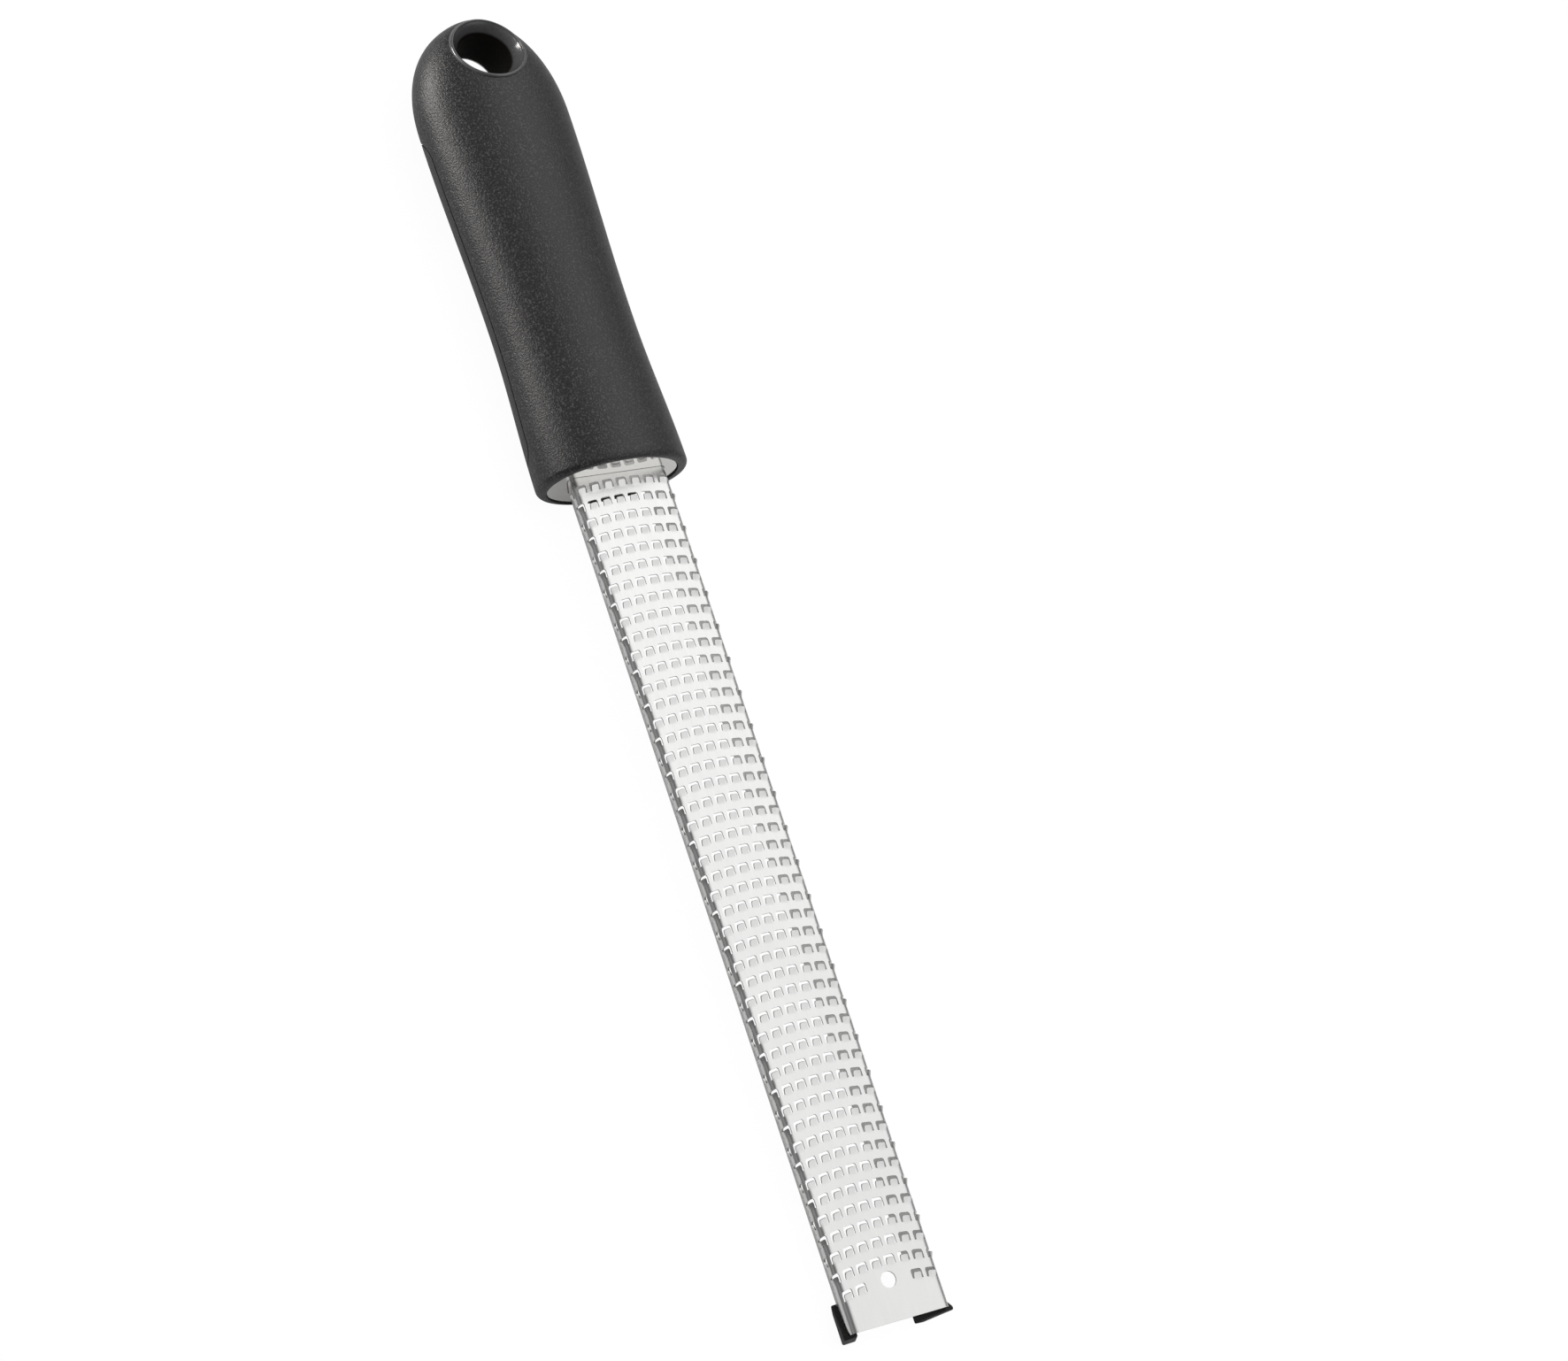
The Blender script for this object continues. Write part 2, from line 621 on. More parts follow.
def holed_patch(bm, along, across, centre_x, radius):
    """A rectangle of flat sheet with a round hole, its border cut at the given lines."""
    border = [(x, across[0]) for x in along] + [(along[-1], y) for y in across[1:-1]]
    border += [(x, across[-1]) for x in reversed(along)] + [(along[0], y) for y in reversed(across[1:-1])]
    turns = [2 * pi * side / HOLE_SIDES for side in range(HOLE_SIDES)]
    hole = [(centre_x + radius * cos(turn), radius * sin(turn)) for turn in turns]
    count = len(border)
    edges = [(place, (place + 1) % count) for place in range(count)]
    edges += [(count + place, count + (place + 1) % HOLE_SIDES) for place in range(HOLE_SIDES)]
    spots = [Vector(spot) for spot in border + hole]
    places, _, faces, _, _, _ = delaunay_2d_cdt(spots, edges, [], 1, 1e-7)
    corners = [bm.verts.new((spot.x, spot.y, 0)) for spot in places]
    inside_hole = radius * cos(pi / HOLE_SIDES) * 0.98
    for face in faces:
        middle = sum((places[corner] for corner in face), Vector((0, 0))) / len(face)
        if hypot(middle.x - centre_x, middle.y) > inside_hole:
            bm.faces.new([corners[corner] for corner in face])


def flat_blade(blade, material):
    """The blank before bending: field of teeth, margins, flanges, tip zone and tang."""
    bm = bmesh.new()
    bm.from_mesh(tooth_field(blade, material))
    cell_along, cell = tooth_lines(blade)
    eighth = blade.tooth_pitch / CELL_PARTS
    half_cell = CELL_PARTS // 2
    wide = blade.teeth * half_cell
    flange_end = half_blank(blade)
    middle = [eighth * place for place in range(-wide, wide + 1)]
    narrow_fill = [eighth * place for place in range(wide - half_cell, wide + 1)]
    flange = [middle[-1], (middle[-1] + flange_end) / 2, flange_end]
    field_along = []
    for row in range(blade.rows + 1):
        lines = [row * blade.row_pitch + x for x in cell_along]
        field_along += lines[:-1]
        if row % 2:
            sheet_on_both_sides(bm, lines, narrow_fill)
    last = [blade.rows * blade.row_pitch + x for x in cell_along]
    field_along.append(last[-1])
    outer = [y + blade.tooth_pitch * (blade.teeth - 1) / 2 for y in cell]
    sheet_on_both_sides(bm, last, outer)
    sheet_on_both_sides(bm, field_along, flange)
    hole_x = tip_hole["pos_m"][0] - PLATE_X - blade.first_row + blade.sag
    # The patch with the hole fills the room between the last row's pairs.
    patch_half = blade.tooth_pitch * (blade.teeth - 6) / 2
    patch_across = [y for y in middle if abs(y) <= patch_half + eighth / 2]
    holed_patch(bm, last, patch_across, hole_x, tip_hole["dims"]["r_mm"] * MM)
    full = [-y for y in reversed(flange)][:-1] + middle + flange[1:]
    end = BLADE_END - PLATE_X - blade.first_row
    start = BLADE_START - PLATE_X - blade.first_row
    plain_sheet(bm, [last[-1], (last[-1] + end) / 2, end], full)
    edge = cell_along[0]
    plain_sheet(bm, [start, (start + edge) / 2, edge * 3, edge * 2, edge], full)
    bmesh.ops.remove_doubles(bm, verts=bm.verts, dist=0.02 * MM)
    return bm


def half_blank(blade):
    """Half of the blank's width: flat, bend and flange laid out straight."""
    turn = bend_angle(blade)
    flat = blade.half_width - blade.bend_radius
    bend_bottom = -blade.bend_radius + blade.bend_radius * cos(turn)
    flange = (blade.flange_depth + bend_bottom) / sin(turn)
    return flat + blade.bend_radius * turn + flange


def bent_place(blade, x, y, height):
    """Where a point of the flat blank lies on the bent blade, in the frame."""
    side = 1 if y > 0 else -1
    flat = blade.half_width - blade.bend_radius
    past = abs(y) - flat
    reach = blade.bend_radius + height
    teeth_end = blade.rows * blade.row_pitch + blade.row_pitch / 2
    tip = BLADE_END - PLATE_X - blade.first_row
    tang = -2 * blade.row_pitch
    # The rows' bow fades out towards the tip and over the tang.
    strength = 1.0
    if x > teeth_end:
        strength = max(0.0, (tip - x) / (tip - teeth_end))
    if x < -blade.row_pitch / 2:
        strength = max(0.0, (x - tang) / (-blade.row_pitch / 2 - tang))
    sag_reach = 3 * blade.tooth_pitch
    sag_y = min(abs(y), 4 * blade.tooth_pitch)
    along = x - strength * blade.sag * (1 - (sag_y / sag_reach) ** 2)
    if past <= 0:
        across, down = abs(y), -height
    else:
        turn = min(past / blade.bend_radius, bend_angle(blade))
        run = past - turn * blade.bend_radius
        across = flat + reach * sin(turn) + run * cos(turn)
        down = blade.bend_radius - reach * cos(turn) + run * sin(turn)
    return Vector((PLATE_X + blade.first_row + along, side * across, FACE_Z - down))


def blade_mesh(blade, material):
    """The bent blade with its sheet's thickness."""
    bm = flat_blade(blade, material)
    for vert in bm.verts:
        vert.co = bent_place(blade, *vert.co)
    bmesh.ops.recalc_face_normals(bm, faces=bm.faces)
    flat_half = blade.half_width - blade.bend_radius
    level = [face for face in bm.faces if abs(face.calc_center_median().y) < flat_half]
    top = max(level, key=lambda face: abs(face.normal.z))
    if top.normal.z < 0:
        bmesh.ops.reverse_faces(bm, faces=bm.faces)
    bent = mesh_from(bm, "blade")
    thick = finished(bent, "SOLIDIFY", thickness=SHEET, offset=-1, use_even_offset=True, thickness_clamp=0)
    smooth_by_angle(thick, 32)
    return thick


class ZESTER_OT_blade(bpy.types.Operator):
    """Etches and bends the rasp blade from one strip"""
    bl_idname = "zester.blade"
    bl_label = "Rasp Blade"

    def execute(self, context):
        blade = settings().blade
        steel = etched_steel(blade.steel)
        piece_from(blade_mesh(blade, steel), "rasp_blade_sheet", steel, "blade_steel", "rasp_blade")
        return {"FINISHED"}


# Handle

# Shares of the grip's length at its waist and its widest place, and the powers of the ovals that
# close the bulb, in plan and from the side.
WAIST_SHARE = 0.32
BULB_SHARE = 0.78
DOME_POWERS = (2.12, 3.2)
# Points round the hang eye, and points of a ring over the shell and round the panel.
EYE_SIDES = 120
UPPER_STEPS = 60
LOWER_STEPS = 36
# Rings at the rim, front collar, panel's front corners, straight edges and rear corners, the band
# behind the panel, and the dome.
RIM_STEPS = 8
COLLAR_STEPS = 6
FRONT_STEPS = 8
STRAIGHT_STEPS = 44
REAR_STEPS = 12
BAND_STEPS = 5
BAND_LENGTH = 6 * MM
DOME_STEPS = 34
# Keeps the first rings of the inner wall apart behind the plate's seat.
INNER_STEP = 0.1 * MM


def mouth_x(grip):
    """Where the front of the grip's rim stands."""
    return PLATE_X + grip.overhang


def grip_length(grip):
    """From the mouth to the end of the bulb."""
    return mouth_x(grip) - GRIP_END


def handle_half_sizes(grip, share):
    """Half width and half height of the grip at a share of its length from the mouth."""
    sizes = []
    trios = (
        (grip.mouth_width, grip.waist_width, grip.bulb_width),
        (grip.mouth_height, grip.waist_height, grip.bulb_height),
    )
    for mouth, waist, bulb in trios:
        if share < WAIST_SHARE:
            size = mouth + (waist - mouth) * (1 - cos(pi * share / WAIST_SHARE)) / 2
        else:
            part = min(1.0, (share - WAIST_SHARE) / (BULB_SHARE - WAIST_SHARE))
            size = waist + (bulb - waist) * (1 - cos(pi * part)) / 2
        sizes.append(size / 2)
    return sizes


def grip_ring(grip, x, inset=0.0):
    """Half width and half height of the grip, drawn in by an inset, at a distance from the mouth."""
    whole = grip_length(grip)
    bulb_x = BULB_SHARE * whole
    wide, tall = handle_half_sizes(grip, min(x / whole, BULB_SHARE))
    wide -= inset
    tall -= inset
    if x > bulb_x:
        share = min(1.0, (x - bulb_x) / (whole - inset - bulb_x))
        shrinks = [max(0.0, 1 - share ** power) ** (1 / power) for power in DOME_POWERS]
        return wide * shrinks[0], tall * shrinks[1]
    if x < grip.rim_round:
        turn = asin(1 - max(0.0, x) / grip.rim_round)
        drawn = grip.rim_round * (1 - cos(turn))
        return wide - drawn, tall - drawn
    return wide, tall


def spaced(start, end, count):
    """Evenly spaced numbers from start to end, both among them."""
    return [start + (end - start) * step / count for step in range(count + 1)]


def panel_limits(grip, gap):
    """Where the panel starts and ends, and its corners' radii, a gap inside its opening."""
    start = grip.overhang + grip.panel_start
    end = start + grip.panel_length
    return start + gap, end - gap, grip.front_corner - gap, grip.rear_corner - gap


def corner_drop(grip, x, gap):
    """How far the panel's rounded corners lie under its straight edge, at a distance from the mouth."""
    start, end, front, rear = panel_limits(grip, gap)
    for inside, radius in ((x - start, front), (end - x, rear)):
        if inside < radius:
            return radius - sqrt(max(0.0, radius ** 2 - (radius - max(0.0, inside)) ** 2)) + gap
    return gap


def panel_stations(grip, gap):
    """Distances from the mouth at the panel: closely spaced round its corners."""
    start, end, front, rear = panel_limits(grip, gap)
    stations = [start + front * (1 - cos(turn)) for turn in spaced(0, pi / 2, FRONT_STEPS)]
    stations += spaced(start + front, end - rear, STRAIGHT_STEPS)[1:]
    stations += [end - rear + rear * sin(turn) for turn in spaced(0, pi / 2, REAR_STEPS)][1:]
    return stations


def ring_angles(grip, x, gap):
    """Angles of a ring's points, starting at the seam on the +Y side, over the top."""
    tall = grip_ring(grip, x)[1]
    low = asin(min(0.9, (corner_drop(grip, x, gap) - grip.seam_rise) / max(tall, 1e-6)))
    upper = spaced(-low, pi + low, UPPER_STEPS)
    lower = spaced(pi + low, 2 * pi - low, LOWER_STEPS)
    return upper[:-1] + lower[:-1]


def oval(x, wide, tall, middle, turns):
    """Points of an upright oval at x, one for each angle."""
    return [Vector((x, wide * cos(turn), middle + tall * sin(turn))) for turn in turns]


def grip_points(grip, x, inset, gap):
    """One ring of points round the grip, at a distance from the mouth."""
    wide, tall = grip_ring(grip, x, inset)
    return oval(mouth_x(grip) - x, wide, tall, AXIS_Z, ring_angles(grip, x, gap))


def plate_ring(grip, depth):
    """One ring of points round the end plate's seat, at a depth behind the mouth."""
    low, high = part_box("end_plate")
    wide = high.y + grip.plate_gap
    tall = (high.z - low.z) / 2 + grip.plate_gap
    middle = (high.z + low.z) / 2
    return oval(mouth_x(grip) - depth, wide, tall, middle, ring_angles(grip, 0.0, 0.0))


def thick_grid(outer, inner, keep):
    """A wall between two grids of points, where keep says which cells it has. The borders of these
    cells are closed, apart from the last ring, where the bulb closes itself at its pole."""
    bm = bmesh.new()
    rows = len(outer)
    around = len(outer[0])
    made = {}

    def vert(level, row, column):
        """The outer or the inner vertex of a place, made once."""
        key = (level, row, column % around)
        if key not in made:
            made[key] = bm.verts.new((outer, inner)[level][row][column % around])
        return made[key]

    cells = {(row, column) for row in range(rows - 1) for column in range(around) if keep(row, column)}
    for row, column in cells:
        corners = [(row, column), (row, column + 1), (row + 1, column + 1), (row + 1, column)]
        bm.faces.new([vert(0, *corner) for corner in corners])
        bm.faces.new([vert(1, *corner) for corner in reversed(corners)])
        after, before = (column + 1) % around, (column - 1) % around
        beside = [(row - 1, column), (row, after), (row + 1, column), (row, before)]
        for place, other in enumerate(beside):
            past_last_ring = other[0] >= rows - 1
            if other in cells or past_last_ring:
                continue
            first, second = corners[place], corners[(place + 1) % 4]
            bm.faces.new([vert(0, *second), vert(0, *first), vert(1, *first), vert(1, *second)])
    bmesh.ops.remove_doubles(bm, verts=bm.verts, dist=0.002 * MM)
    bmesh.ops.recalc_face_normals(bm, faces=bm.faces)
    return bm


def round_edges(bm, width, angle, segments):
    """Rounds the edges that are sharper than an angle."""
    sharp = [
        edge for edge in bm.edges
        if len(edge.link_faces) == 2 and edge.calc_face_angle() > radians(angle)
    ]
    bmesh.ops.bevel(
        bm, geom=sharp, offset=width, segments=segments, profile=0.5, affect="EDGES", clamp_overlap=True
    )


def upper_shell_mesh(grip, eye):
    """The grained shell: rim, top, front collar and bulb, open where the panel sits."""
    whole = grip_length(grip)
    low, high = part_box("end_plate")
    seat = grip.overhang + high.x - low.x
    panel = panel_stations(grip, 0.0)
    rim_turn = acos(1 - grip.rim_face / grip.rim_round)
    rim = [grip.rim_round * (1 - sin(turn)) for turn in spaced(rim_turn, 0, RIM_STEPS)]
    collar = spaced(grip.rim_round, panel[0], COLLAR_STEPS)[1:]
    bulb_x = BULB_SHARE * whole
    rear = spaced(panel[-1], panel[-1] + BAND_LENGTH, BAND_STEPS)[1:]
    dome_start = asin((rear[-1] - bulb_x) / (whole - bulb_x))
    dome = [bulb_x + (whole - bulb_x) * sin(turn) for turn in spaced(dome_start, pi / 2, DOME_STEPS)][1:]
    stations = rim + collar + panel[1:] + rear + dome
    outer = [plate_ring(grip, seat), plate_ring(grip, rim[0])]
    inner = [grip_points(grip, seat + step * INNER_STEP, grip.wall, 0.0) for step in (1, 2)]
    for order, x in enumerate(stations):
        outer.append(grip_points(grip, x, 0.0, 0.0))
        deep = max(x, seat + (order + 3) * INNER_STEP)
        if x > bulb_x:
            deep = bulb_x + (x - bulb_x) / (whole - bulb_x) * (whole - grip.wall - bulb_x)
        inner.append(grip_points(grip, deep, grip.wall, 0.0))
    first_panel = 2 + len(rim) + len(collar) - 1
    last_panel = first_panel + len(panel) - 1

    def keep(row, column):
        """Whether a cell belongs to the shell, and not to the panel."""
        return column < UPPER_STEPS or not first_panel <= row < last_panel

    bm = thick_grid(outer, inner, keep)
    round_edges(bm, grip.edge_round, 50, 3)
    shell = cut_out(mesh_from(bm, "upper_shell"), eye_room_mesh(eye))
    smooth_by_angle(shell, 30)
    return shell


def eye_room_mesh(eye):
    """Upright round bar, longer than the grip is high, that clears the hang eye's room in the shell."""
    bm = bmesh.new()
    radius = eye.flare_radius + eye.lip
    bmesh.ops.create_cone(
        bm, cap_ends=True, segments=EYE_SIDES, radius1=radius, radius2=radius,
        depth=80 * MM, matrix=Matrix.Translation((EYE_X, 0, AXIS_Z)),
    )
    return mesh_from(bm, "eye_cutter")


def lower_panel_mesh(grip):
    """The panel let into the underside, a seam's gap inside the shell's edge."""
    stations = panel_stations(grip, grip.seam)
    outer = [grip_points(grip, x, 0.0, grip.seam) for x in stations]
    inner = [grip_points(grip, x, grip.wall, grip.seam) for x in stations]
    bm = thick_grid(outer, inner, lambda row, column: column >= UPPER_STEPS)
    round_edges(bm, grip.edge_round, 50, 3)
    panel = mesh_from(bm, "lower_panel")
    smooth_by_angle(panel, 30)
    return panel


class ZESTER_OT_grip(bpy.types.Operator):
    """Moulds the two skins of the grip"""
    bl_idname = "zester.grip"
    bl_label = "Grip Shells"

    def execute(self, context):
        grip = settings().grip
        grained = grained_plastic(
            "spark_grained_nylon", grip.shell_colour, grain_mm=0.42, relief_mm=0.15, roughness=0.36
        )
        shell = upper_shell_mesh(grip, settings().eye)
        piece_from(shell, "grip_shell", grained, "grip_grained", "upper_shell")
        plain = grained_plastic(
            "satin_nylon", grip.panel_colour, grain_mm=0.22, relief_mm=0.015, roughness=0.42
        )
        piece_from(lower_panel_mesh(grip), "grip_panel", plain, "grip_smooth", "lower_panel")
        return {"FINISHED"}


# Hang eye

# Depths as shares of the flare's depth: where the bore's straight part starts, and where the
# liner's outer wall turns in under the shell.
STRAIGHT_START = 1.3
WALL_TURN = 0.6


def grip_surface_z(grip, x, y):
    """Height of the grip's upper surface over its axis, at a place in plan."""
    wide, tall = grip_ring(grip, mouth_x(grip) - x)
    share = min(0.999, abs(y) / max(wide, 1e-6))
    return tall * sqrt(1 - share ** 2)


def hang_eye_mesh(grip, eye):
    """Liner of the hang hole: a straight bore that flares to a raised lip at both faces."""
    bore = hang_hole["dims"]["r_mm"] * MM
    outer = eye.flare_radius + eye.lip
    profile = [(bore, eye.flare_depth * STRAIGHT_START)]
    for share in spaced(0, 1, 10):
        profile.append((bore + (eye.flare_radius - bore) * share, eye.flare_depth * (1 - share)))
    for turn in spaced(0, pi, 8)[1:]:
        profile.append((eye.flare_radius + eye.lip * (1 - cos(turn)) / 2, -eye.proud * sin(turn)))
    profile.append((outer, eye.flare_depth * WALL_TURN))
    profile.append((bore + eye.wall, eye.flare_depth * STRAIGHT_START))
    crown = grip_surface_z(grip, EYE_X, 0)
    slope = (grip_surface_z(grip, EYE_X + eye.wall, 0) - crown) / eye.wall
    bm = bmesh.new()
    rings = []
    for radius, depth in profile:
        sunk = min(1.0, max(0.0, depth / eye.flare_depth))
        ring = []
        for step in range(EYE_SIDES):
            turn = 2 * pi * step / EYE_SIDES
            x = EYE_X + radius * cos(turn)
            y = radius * sin(turn)
            level = crown + slope * (x - EYE_X)
            ring.append((x, y, grip_surface_z(grip, x, y) * (1 - sunk) + level * sunk - depth))
        rings.append(ring)
    closed = [[(x, y, AXIS_Z + z) for x, y, z in ring] for ring in rings]
    closed += [[(x, y, AXIS_Z - z) for x, y, z in ring] for ring in reversed(rings)]
    verts = [[bm.verts.new(place) for place in ring] for ring in closed]
    for row in range(len(verts)):
        below = verts[(row + 1) % len(verts)]
        for column in range(EYE_SIDES):
            beside = (column + 1) % EYE_SIDES
            bm.faces.new((verts[row][column], verts[row][beside], below[beside], below[column]))
    bmesh.ops.recalc_face_normals(bm, faces=bm.faces)
    mesh = mesh_from(bm, "hang_eye")
    smooth_by_angle(mesh, 40)
    return mesh


class ZESTER_OT_hang_eye(bpy.types.Operator):
    """Moulds the polished liner of the hang hole"""
    bl_idname = "zester.hang_eye"
    bl_label = "Hang Eye"

    def execute(self, context):
        eye = settings().eye
        mesh = hang_eye_mesh(settings().grip, eye)
        piece_from(mesh, "hang_eye_liner", gloss_plastic(eye.gloss), "eye_gloss", "hang_eye")
        return {"FINISHED"}


# Feet

# Room that the slit leaves round the sheet, on both sides together and at its end.
SLIT_PLAY = 0.16 * MM
SLIT_END_PLAY = 0.05 * MM


def foot_mesh(blade, foot, side):
    """One boot: a slanted rubber shoe round the flange's lower corner, slit for the sheet."""
    lean = bend_angle(blade) - pi / 2
    corner_y = blade.half_width - blade.bend_radius + blade.bend_radius / tan((pi / 2 - lean) / 2)
    run = blade.flange_depth / cos(lean) + SHEET * tan(lean)
    low = -run - foot.sole
    end = BLADE_END + foot.end_wall
    start = end - foot.length
    outline = [
        (start + foot.front_slant, low),
        (end, low),
        (end, -foot.top_gap),
        (BLADE_END, -foot.top_gap),
        (start, foot.front_height - run),
    ]
    thick = foot.wall + SHEET / 2
    bm = bmesh.new()
    near_side = bm.faces.new([bm.verts.new((x, -thick, z)) for x, z in outline])
    pushed = bmesh.ops.extrude_face_region(bm, geom=[near_side])["geom"]
    far_verts = [item for item in pushed if isinstance(item, bmesh.types.BMVert)]
    bmesh.ops.translate(bm, verts=far_verts, vec=(0, 2 * thick, 0))
    bmesh.ops.recalc_face_normals(bm, faces=bm.faces)
    round_edges(bm, foot.edge_round, 20, 4)
    turn = Matrix.Rotation(-side * lean, 4, "X")
    shift = Matrix.Translation((0, side * (corner_y - SHEET / 2 / cos(lean)), FACE_Z))
    bmesh.ops.transform(bm, matrix=shift @ turn, verts=bm.verts)
    slit = bmesh.new()
    bmesh.ops.create_cube(slit, size=1.0)
    deep = 40 * MM
    for vert in slit.verts:
        vert.co.x = vert.co.x * deep + BLADE_END + SLIT_END_PLAY - deep / 2
        vert.co.y *= SHEET + SLIT_PLAY
        vert.co.z = vert.co.z * deep - run + deep / 2
    bmesh.ops.transform(slit, matrix=shift @ turn, verts=slit.verts)
    shoe = cut_out(mesh_from(bm, "foot"), mesh_from(slit, "slit_cutter"))
    smooth_by_angle(shoe, 30)
    return shoe


class ZESTER_OT_feet(bpy.types.Operator):
    """Moulds the two rubber feet on the flanges"""
    bl_idname = "zester.feet"
    bl_label = "Rubber Feet"

    def execute(self, context):
        rubber = moulded_rubber(settings().foot.rubber)
        for side, word in ((1, "left"), (-1, "right")):
            mesh = foot_mesh(settings().blade, settings().foot, side)
            piece_from(mesh, word + "_shoe", rubber, "foot_rubber", word + "_foot")
        return {"FINISHED"}


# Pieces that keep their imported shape

class ZESTER_OT_hardware(bpy.types.Operator):
    """Finishes the end plate, the core and the cross pins"""
    bl_idname = "zester.hardware"
    bl_label = "Plate, Core and Pins"

    def execute(self, context):
        finishes = {
            "end_plate": polished_steel(),
            "handle_core": core_plastic(),
            "tang_pins": ground_pin_steel(),
        }
        for node, material in finishes.items():
            held = frame["nodes"][node]
            held.data.materials.clear()
            held.data.materials.append(material)
        return {"FINISHED"}


# Stage

# The camera's place from the middle of the blade's first row of teeth, the way it looks and the
# way its top edge points, as the photo's grid of teeth gives them.
CAMERA_PLACE = Vector((261.91, -332.08, 632.85)) * MM
CAMERA_LOOKS = Vector((-0.2754, 0.4710, -0.8380))
CAMERA_UP = Vector((-0.9091, 0.1562, 0.3856))
WARM_WHITE = "FFFCF8"
# What the world gives as a light, and how bright it is in reflections by the way that these look:
# two directions, then the strengths there. The factors are multiplied, and of the two for the near
# side the larger one holds.
WORLD_LIGHT = 0.2
LEVEL_TO_OVERHEAD = (0.1, 0.6, 0.22, 1.3)
HANDLE_TO_TIP = (-0.36, -0.08, 1.0, 0.71)
NEAR_TO_ACROSS = (-0.1, 0.38, 0.1, 1.0)
BEHIND_CAMERA = (-0.8, -0.4, 0.3, 0.1)
ACROSS_TO_FAR = (0.6, 0.95, 1.0, 0.35)


def area_lamp(name, place, aim, size, power, tint="FFFFFF"):
    """A soft square lamp that looks at a point."""
    light = bpy.data.lights.new(name, "AREA")
    light.shape = "RECTANGLE"
    light.size, light.size_y = size
    light.energy = power
    light.color = linear(tint)[:3]
    lamp = linked(name, light)
    lamp.location = place
    lamp.rotation_euler = (Vector(aim) - Vector(place)).to_track_quat("-Z", "Y").to_euler()
    return lamp


def tilted_floor(stage):
    """The floor that the mouth's lower edge and the feet stand on, slightly out of the frame's level."""
    heel_x = mouth_x(settings().grip)
    sole_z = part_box("left_foot")[0].z
    tilt = Matrix.Rotation(-atan2(sole_z, BLADE_END - heel_x), 4, "Y")
    bm = bmesh.new()
    bmesh.ops.create_grid(bm, x_segments=2, y_segments=2, size=stage.floor_size / 2)
    bmesh.ops.transform(bm, matrix=Matrix.Translation((heel_x, 0, 0)) @ tilt, verts=bm.verts)
    mesh = mesh_from(bm, "floor")
    mesh.materials.append(white_laminate(stage.floor_colour))
    return linked("floor", mesh)


def grip_lamps():
    """Two warm lamps that reach only the grip and its eye: the blade's left bend stays dark."""
    reach = bpy.data.collections.new("grip_lamps_reach")
    for name in ("grip_shell", "grip_panel", "hang_eye_liner"):
        reach.objects.link(bpy.data.objects[name])
    side = area_lamp(
        "side", place=(-0.6, -1.0, 0.56), aim=(-0.06, 0, 0), size=(0.5, 0.4), power=1.7, tint=WARM_WHITE
    )
    low = area_lamp(
        "low", place=(-0.39, -0.28, 0.07), aim=(EYE_X, -0.018, 0.015), size=(0.14, 0.1), power=0.7,
        tint=WARM_WHITE,
    )
    for lamp in (side, low):
        lamp.visible_camera = False
        lamp.light_linking.receiver_collection = reach


def studio_world():
    """White to the camera, a dim light all round, and in reflections brightest over the far side."""
    world = bpy.data.worlds.new("studio_white")
    world.use_nodes = True
    tree = world.node_tree
    way = add_node(tree, "ShaderNodeTexCoord").outputs["Generated"]
    axes = add_node(tree, "ShaderNodeSeparateXYZ", (way,)).outputs
    near = add_node(tree, RANGE, (axes["Y"], *NEAR_TO_ACROSS))
    behind = add_node(tree, RANGE, (axes["Y"], *BEHIND_CAMERA))
    dome = add_node(tree, MATH, (near, behind), operation="MAXIMUM")
    for axis, ramp in (("Y", ACROSS_TO_FAR), ("X", HANDLE_TO_TIP), ("Z", LEVEL_TO_OVERHEAD)):
        factor = add_node(tree, RANGE, (axes[axis], *ramp))
        dome = add_node(tree, MATH, (dome, factor), operation="MULTIPLY")
    direct, mirrored = ray_kinds(tree)
    over = add_node(tree, MATH, (dome, WORLD_LIGHT), operation="SUBTRACT")
    extra = add_node(tree, MATH, (mirrored, over), operation="MULTIPLY")
    seen = add_node(tree, MATH, (direct, 1.0 - WORLD_LIGHT, extra), operation="MULTIPLY_ADD")
    strength = add_node(tree, MATH, (seen, WORLD_LIGHT), operation="ADD")
    plug(tree, tree.nodes["Background"], {"Color": (1, 1, 1, 1), "Strength": strength})
    return world


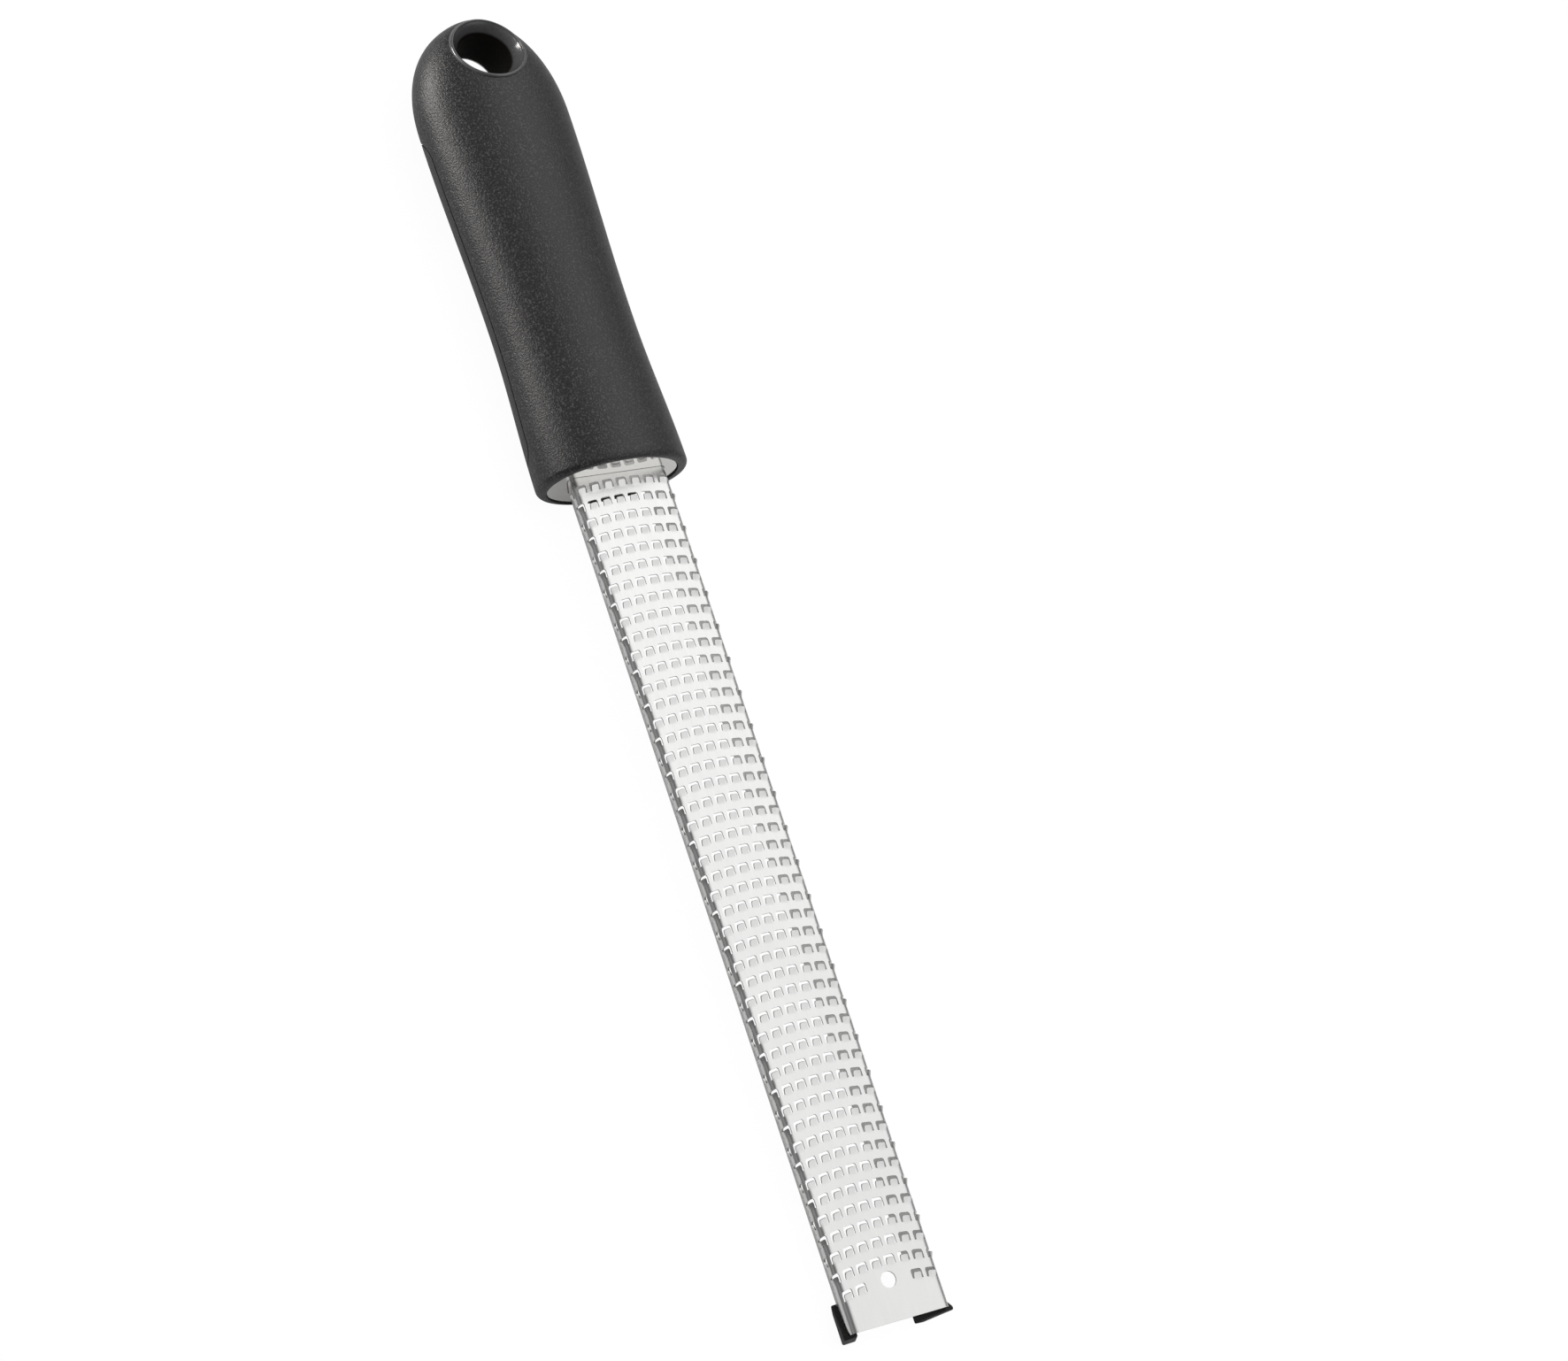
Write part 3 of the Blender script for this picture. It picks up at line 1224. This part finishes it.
def photo_camera(lens):
    """The camera at the photo's place and angle."""
    data = bpy.data.cameras.new("photo_camera")
    data.lens = lens
    data.sensor_width = 36
    data.clip_start = 0.01
    camera = linked("photo_camera", data)
    back = -CAMERA_LOOKS.normalized()
    right = CAMERA_UP.cross(back).normalized()
    turned = Matrix((right, back.cross(right), back)).transposed().to_4x4()
    first_row = Vector((PLATE_X + settings().blade.first_row, 0, FACE_Z))
    camera.matrix_world = Matrix.Translation(first_row + CAMERA_PLACE) @ turned
    return camera


class ZESTER_OT_stage(bpy.types.Operator):
    """Sets up the white floor, the soft lamps, the world and the camera"""
    bl_idname = "zester.stage"
    bl_label = "Stage"

    def execute(self, context):
        stage = settings().stage
        scene = context.scene
        scene.view_settings.view_transform = "Standard"
        floor = tilted_floor(stage)
        overhead = area_lamp("overhead", place=(0.0, 0.1, 1.5), aim=(0.03, 0, 0), size=(1.6, 1.6), power=9)
        overhead.visible_glossy = False
        grip_lamps()
        scene.world = studio_world()
        scene.camera = photo_camera(stage.lens)
        return {"FINISHED"}


class ZESTER_PT_panel(bpy.types.Panel):
    """Lists the builders and their settings"""
    bl_label = "Rasp Zester"
    bl_idname = "ZESTER_PT_panel"
    bl_space_type = "VIEW_3D"
    bl_region_type = "UI"
    bl_category = "Zester"

    def draw(self, context):
        for operator in OPERATORS:
            self.layout.operator(operator.bl_idname)
        for name in ("blade", "grip", "eye", "foot", "stage"):
            box = self.layout.box()
            box.label(text=name.title())
            group = getattr(context.scene.zester, name)
            for key in group.bl_rna.properties.keys():
                if key not in ("rna_type", "name"):
                    box.prop(group, key)


OPERATORS = (
    ZESTER_OT_blade, ZESTER_OT_grip, ZESTER_OT_hang_eye, ZESTER_OT_feet, ZESTER_OT_hardware, ZESTER_OT_stage,
)
CLASSES = (
    BladeSettings, GripSettings, EyeSettings, FootSettings, StageSettings, ZesterSettings,
) + OPERATORS + (ZESTER_PT_panel,)


def register():
    for item in CLASSES:
        bpy.utils.register_class(item)
    bpy.types.Scene.zester = PointerProperty(type=ZesterSettings)


def unregister():
    del bpy.types.Scene.zester
    for item in reversed(CLASSES):
        bpy.utils.unregister_class(item)


def main():
    register()
    bpy.ops.zester.blade()
    bpy.ops.zester.grip()
    bpy.ops.zester.hang_eye()
    bpy.ops.zester.feet()
    bpy.ops.zester.hardware()
    bpy.ops.zester.stage()


if __name__ == "__main__":
    main()
